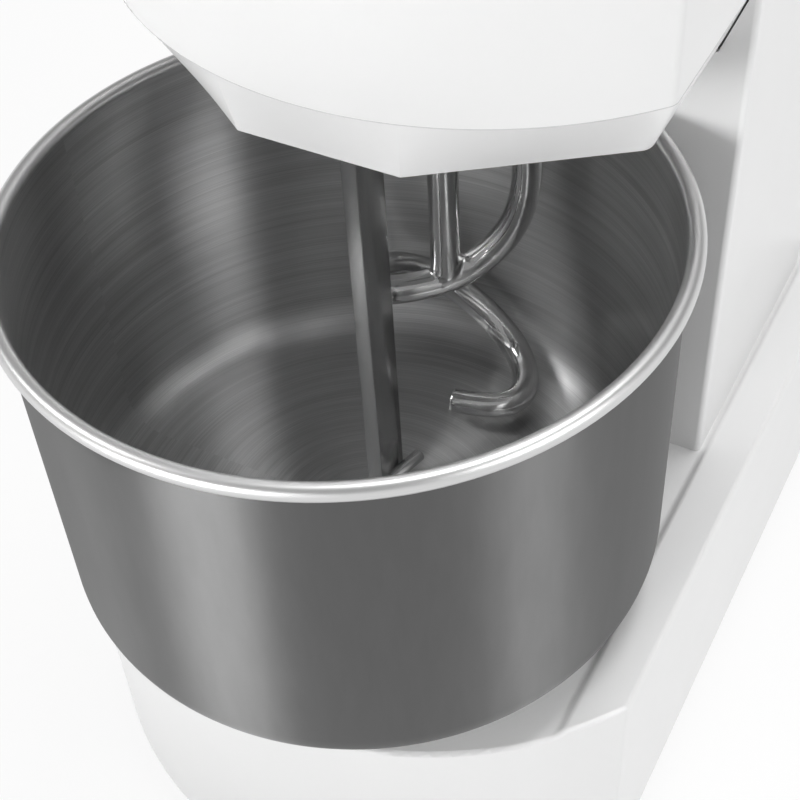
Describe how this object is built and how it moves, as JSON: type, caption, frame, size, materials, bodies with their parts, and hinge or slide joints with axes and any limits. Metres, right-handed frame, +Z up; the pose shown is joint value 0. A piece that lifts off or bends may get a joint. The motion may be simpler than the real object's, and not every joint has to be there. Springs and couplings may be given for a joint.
{
  "type": "spiral dough mixer",
  "caption": "Counter-top spiral dough mixer: turning steel bowl on a bowed base, tilting head on a column with a driven spiral hook and a fixed breaker bar.",
  "frame": {"origin": "on the table under the middle of the machine's outline", "axes": "+Z up, the bowl's side faces -Y, +X to the right seen from the bowl"},
  "size_m": [0.342, 0.5082, 0.6515],
  "materials": {
    "white_paint": "gloss",
    "bowl_steel": "spun brushed",
    "bar_steel": "brushed",
    "hook_chrome": "polished",
    "machine_steel": "turned",
    "cast_aluminium": "as cast",
    "motor_paint": "satin",
    "zinc_plate": "satin",
    "black_rubber": "matt",
    "dark_plastic": "fine grain",
    "grey_plastic": "fine grain",
    "green_plastic": "gloss",
    "red_plastic": "gloss",
    "bronze": "sintered"
  },
  "bodies": {
    "frame": {"base_shell": "white_paint", "base_plate": "zinc_plate", "plate_posts": "zinc_plate", "plate_screws": "machine_steel", "rubber_feet": "black_rubber", "column_shell": "white_paint", "rear_cover": "white_paint", "rear_cover_screws": "machine_steel", "power_inlet": "dark_plastic", "rest_bridge": "zinc_plate", "head_rest_pads": "black_rubber", "hinge_pin": "machine_steel", "hinge_caps": "machine_steel", "lock_bush": "machine_steel", "bowl_bearing_housing": "cast_aluminium", "bowl_bearing_lower": "machine_steel", "bowl_bearing_upper": "machine_steel", "bowl_belt": "black_rubber", "bowl_motor_plate": "zinc_plate", "bowl_motor": "motor_paint", "control_box": "grey_plastic"},
    "bowl": {"bowl": "bowl_steel", "bowl_hub": "bowl_steel", "bowl_shaft": "machine_steel", "bowl_pulley": "cast_aluminium"},
    "bowl_rotor": {"bowl_motor_shaft": "machine_steel", "bowl_motor_pulley": "cast_aluminium"},
    "head": {"head_shell": "white_paint", "head_skirt": "white_paint", "head_chassis": "zinc_plate", "pivot_bushes": "bronze", "hook_bearing_housing": "cast_aluminium", "hook_bearing_lower": "machine_steel", "hook_bearing_upper": "machine_steel", "hook_seal": "black_rubber", "hook_belt": "black_rubber", "hook_motor": "motor_paint", "breaker_bar": "bar_steel", "bar_clamp": "machine_steel", "bar_bolts": "machine_steel", "control_panel": "dark_plastic", "timer_unit": "grey_plastic", "speed_unit": "grey_plastic", "switch_block": "grey_plastic", "start_bezel": "grey_plastic", "stop_bezel": "grey_plastic"},
    "hook": {"spiral_hook": "hook_chrome", "hook_spindle": "machine_steel", "hook_cross_pin": "machine_steel", "hook_pulley": "cast_aluminium", "hook_pulley_nut": "machine_steel"},
    "hook_rotor": {"hook_motor_shaft": "machine_steel", "hook_motor_pulley": "cast_aluminium"},
    "timer_knob": {"timer_knob": "dark_plastic"},
    "speed_knob": {"speed_knob": "dark_plastic"},
    "start_button": {"start_button": "green_plastic"},
    "stop_button": {"stop_button": "red_plastic"},
    "lock_pin": {"lock_pin": "dark_plastic"}
  },
  "joints": [
    {"name": "bowl_turn", "type": "hinge", "parent": "frame", "child": "bowl", "pos_m": [0, -0.0899, 0.172], "axis": [0, 0, 1], "continuous": true},
    {"name": "bowl_motor_turn", "type": "hinge", "parent": "frame", "child": "bowl_rotor", "pos_m": [0, 0.1501, 0.1], "axis": [0, 0, 1], "continuous": true},
    {"name": "head_tilt", "type": "hinge", "parent": "frame", "child": "head", "pos_m": [0, 0.1921, 0.455], "axis": [-1, 0, 0], "range_deg": [0, 50]},
    {"name": "hook_turn", "type": "hinge", "parent": "head", "child": "hook", "pos_m": [0, 0.0111, 0.447], "axis": [0, 0, 1], "continuous": true},
    {"name": "hook_motor_turn", "type": "hinge", "parent": "head", "child": "hook_rotor", "pos_m": [0, 0.1501, 0.58], "axis": [0, 0, 1], "continuous": true},
    {"name": "timer_turn", "type": "hinge", "parent": "head", "child": "timer_knob", "pos_m": [-0.059, -0.0379, 0.6345], "axis": [0, 0, -1], "range_deg": [0, 300]},
    {"name": "speed_turn", "type": "hinge", "parent": "head", "child": "speed_knob", "pos_m": [0.059, -0.0379, 0.6345], "axis": [0, 0, -1], "range_deg": [0, 270]},
    {"name": "start_push", "type": "slide", "parent": "head", "child": "start_button", "axis": [0, 0, -1], "range_m": [0, 0.003], "stiffness_N_per_m": 400},
    {"name": "stop_push", "type": "slide", "parent": "head", "child": "stop_button", "axis": [0, 0, -1], "range_m": [0, 0.003], "stiffness_N_per_m": 400},
    {"name": "lock_push", "type": "slide", "parent": "frame", "child": "lock_pin", "axis": [1, 0, 0], "range_m": [0, 0.012]}
  ],
  "couplings": [
    {"joint": "bowl_motor_turn", "follows": "bowl_turn", "ratio": 4},
    {"joint": "hook_motor_turn", "follows": "hook_turn", "ratio": 3.5455}
  ]
}
